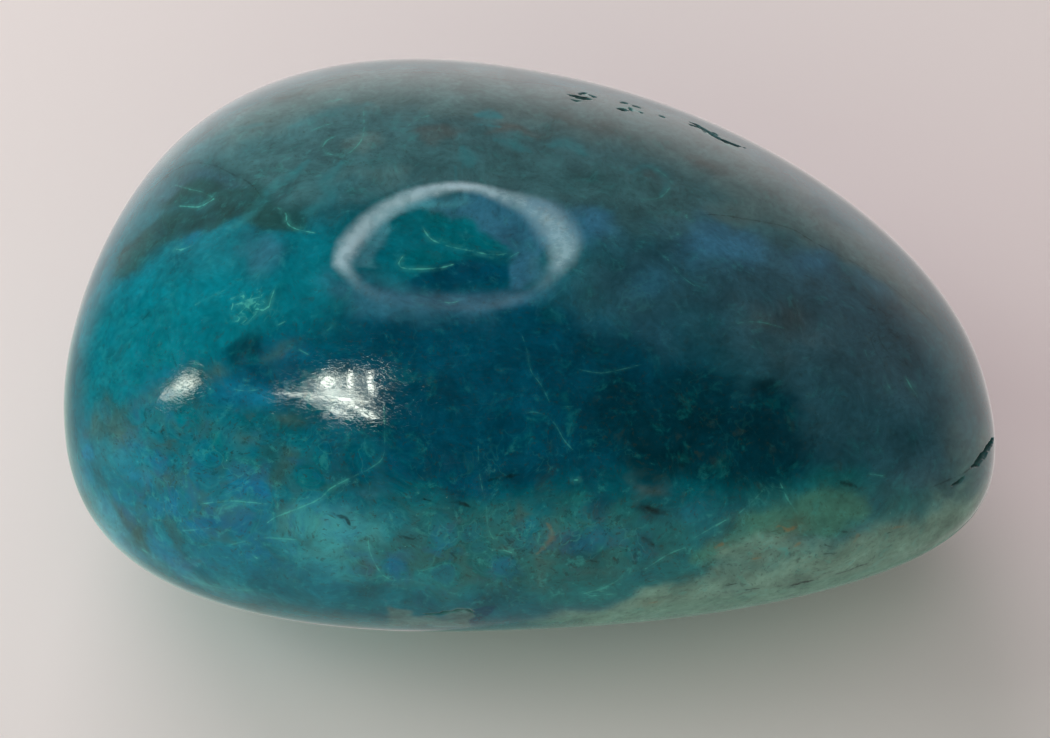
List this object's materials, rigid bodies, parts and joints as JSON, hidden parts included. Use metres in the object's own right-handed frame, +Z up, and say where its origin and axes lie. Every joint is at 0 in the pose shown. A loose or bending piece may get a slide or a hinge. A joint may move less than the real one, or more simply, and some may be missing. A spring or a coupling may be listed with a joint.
{
  "type": "chrysocolla palm stone",
  "caption": "Egg-shaped polished stone to hold in the hand, with a shallow thumb hollow on its crown and a small worn flat underneath.",
  "frame": {"origin": "middle of the stone's footprint, at the height of the surface that it rests on", "axes": "+X along the long axis towards the narrow end, +Z up through the crown with the thumb hollow; the thumb hollow lies a little towards -Y"},
  "size_m": [0.0698, 0.0476, 0.0323],
  "materials": {
    "polished_chrysocolla": "mirror-polished, satin on the rim of the thumb hollow"
  },
  "bodies": {
    "root": {"stone": "polished_chrysocolla"}
  },
  "joints": []
}
